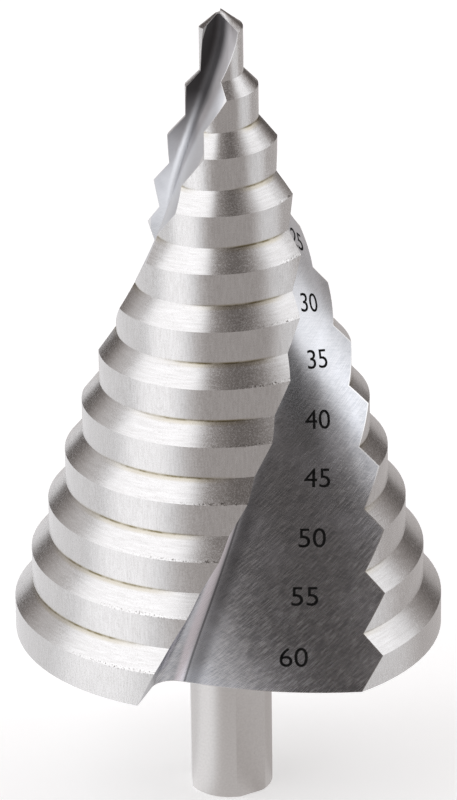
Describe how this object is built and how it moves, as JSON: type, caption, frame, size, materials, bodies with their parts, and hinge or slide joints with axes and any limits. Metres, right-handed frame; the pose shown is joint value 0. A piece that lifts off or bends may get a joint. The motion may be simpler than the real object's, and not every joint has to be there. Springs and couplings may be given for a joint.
{
  "type": "step drill",
  "caption": "Conical step drill for sheet metal with spiral flutes, a small pilot point and a round shank with flats for a drill chuck.",
  "frame": {"origin": "centre of the flat end of the shank, which is the bottom of the part as it stands", "axes": "+Z along the drill's axis, from the shank's end to the point; -Y faces the pictured side; +X is to the right of that side"},
  "size_m": [0.06, 0.0564, 0.1162],
  "materials": {
    "ground_steel": "satin, turned and ground"
  },
  "bodies": {
    "root": {"step_drill": "ground_steel"}
  },
  "joints": []
}
